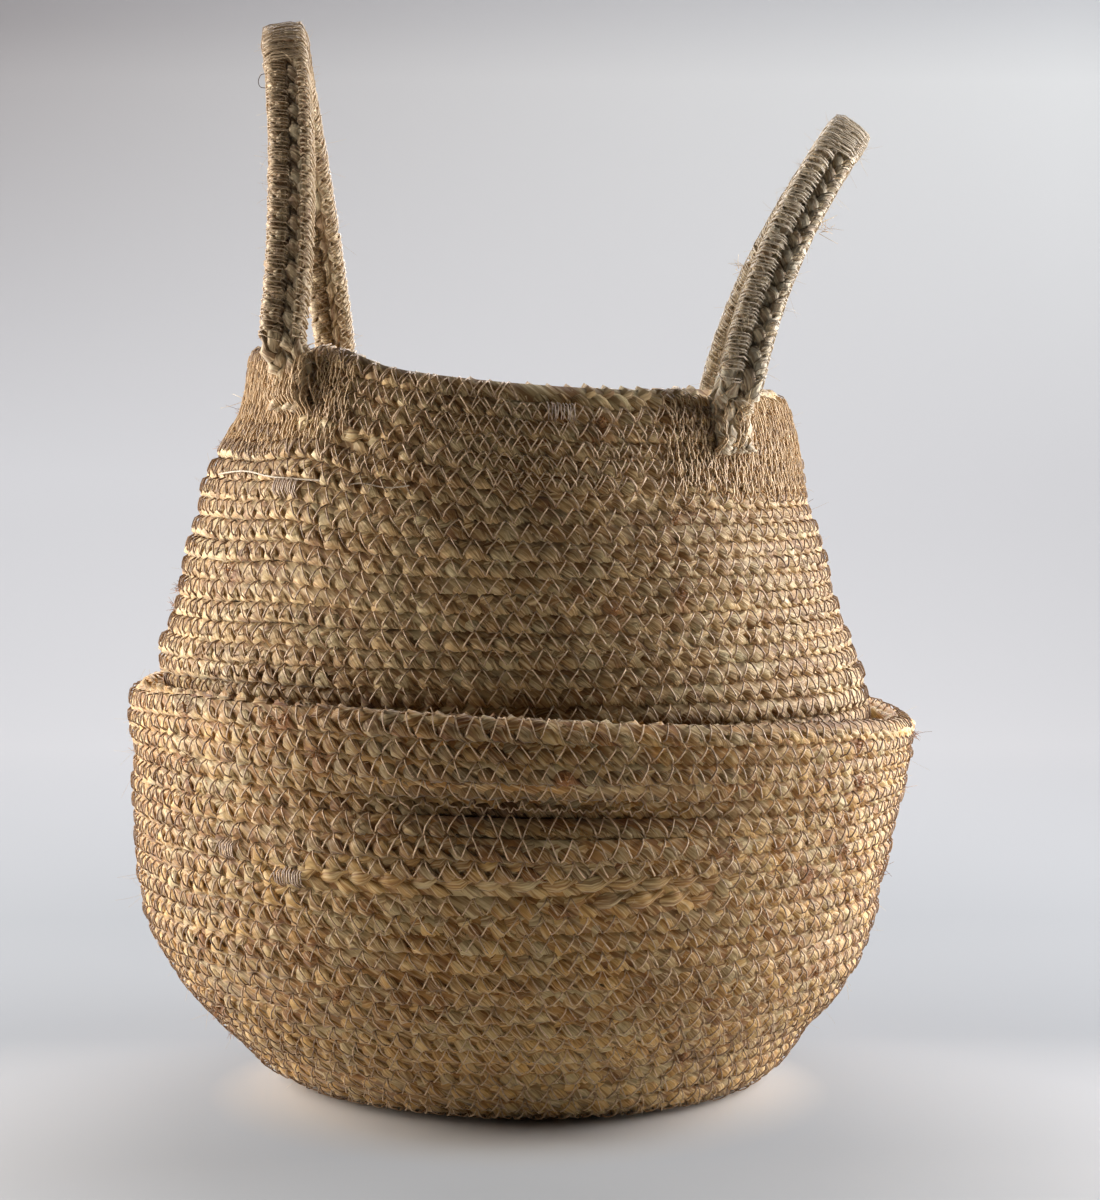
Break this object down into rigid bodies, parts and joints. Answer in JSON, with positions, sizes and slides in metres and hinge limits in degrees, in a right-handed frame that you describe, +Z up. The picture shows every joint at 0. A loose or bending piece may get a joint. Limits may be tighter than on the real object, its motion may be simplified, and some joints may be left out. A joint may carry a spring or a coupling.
{
  "type": "jute basket",
  "caption": "Round belly basket of spirally sewn jute braid, folded at the belly so that its neck stands up out of the bowl, with two strap handles at the rim.",
  "frame": {"origin": "middle of the underside of the base", "axes": "+Z up, -Y to the front, handles on -X and +X"},
  "size_m": [0.3089, 0.309, 0.4157],
  "materials": {
    "wall_jute": "golden jute braid, sewn in rows with grey-brown thread",
    "handle_jute": "greyer jute braid, edges overlocked with jute thread"
  },
  "bodies": {
    "bowl": {"base_coil": "wall_jute", "bowl_wall": "wall_jute", "fold_wall": "wall_jute"},
    "neck": {"neck_wall": "wall_jute", "left_front_foot": "handle_jute", "left_back_foot": "handle_jute", "right_front_foot": "handle_jute", "right_back_foot": "handle_jute"},
    "left_handle": {"left_handle_upper_inboard": "handle_jute", "left_handle_upper_outboard": "handle_jute", "left_handle_lower_inboard": "handle_jute", "left_handle_lower_outboard": "handle_jute"},
    "right_handle": {"right_handle_upper_inboard": "handle_jute", "right_handle_upper_outboard": "handle_jute", "right_handle_lower_inboard": "handle_jute", "right_handle_lower_outboard": "handle_jute"}
  },
  "joints": [
    {"name": "neck_slide", "type": "slide", "parent": "bowl", "child": "neck", "axis": [0, 0, 1], "range_m": [-0.025, 0.04], "deforming": ["fold_wall"]},
    {"name": "left_handle_bend", "type": "hinge", "parent": "neck", "child": "left_handle", "pos_m": [-0.08304, 0.00413, 0.28398], "axis": [0.0497, 0.9988, 0], "range_deg": [-70, 38]},
    {"name": "right_handle_bend", "type": "hinge", "parent": "neck", "child": "right_handle", "pos_m": [0.08309, -0.00218, 0.269], "axis": [0.0262, 0.9997, 0], "range_deg": [-60, 50]}
  ]
}
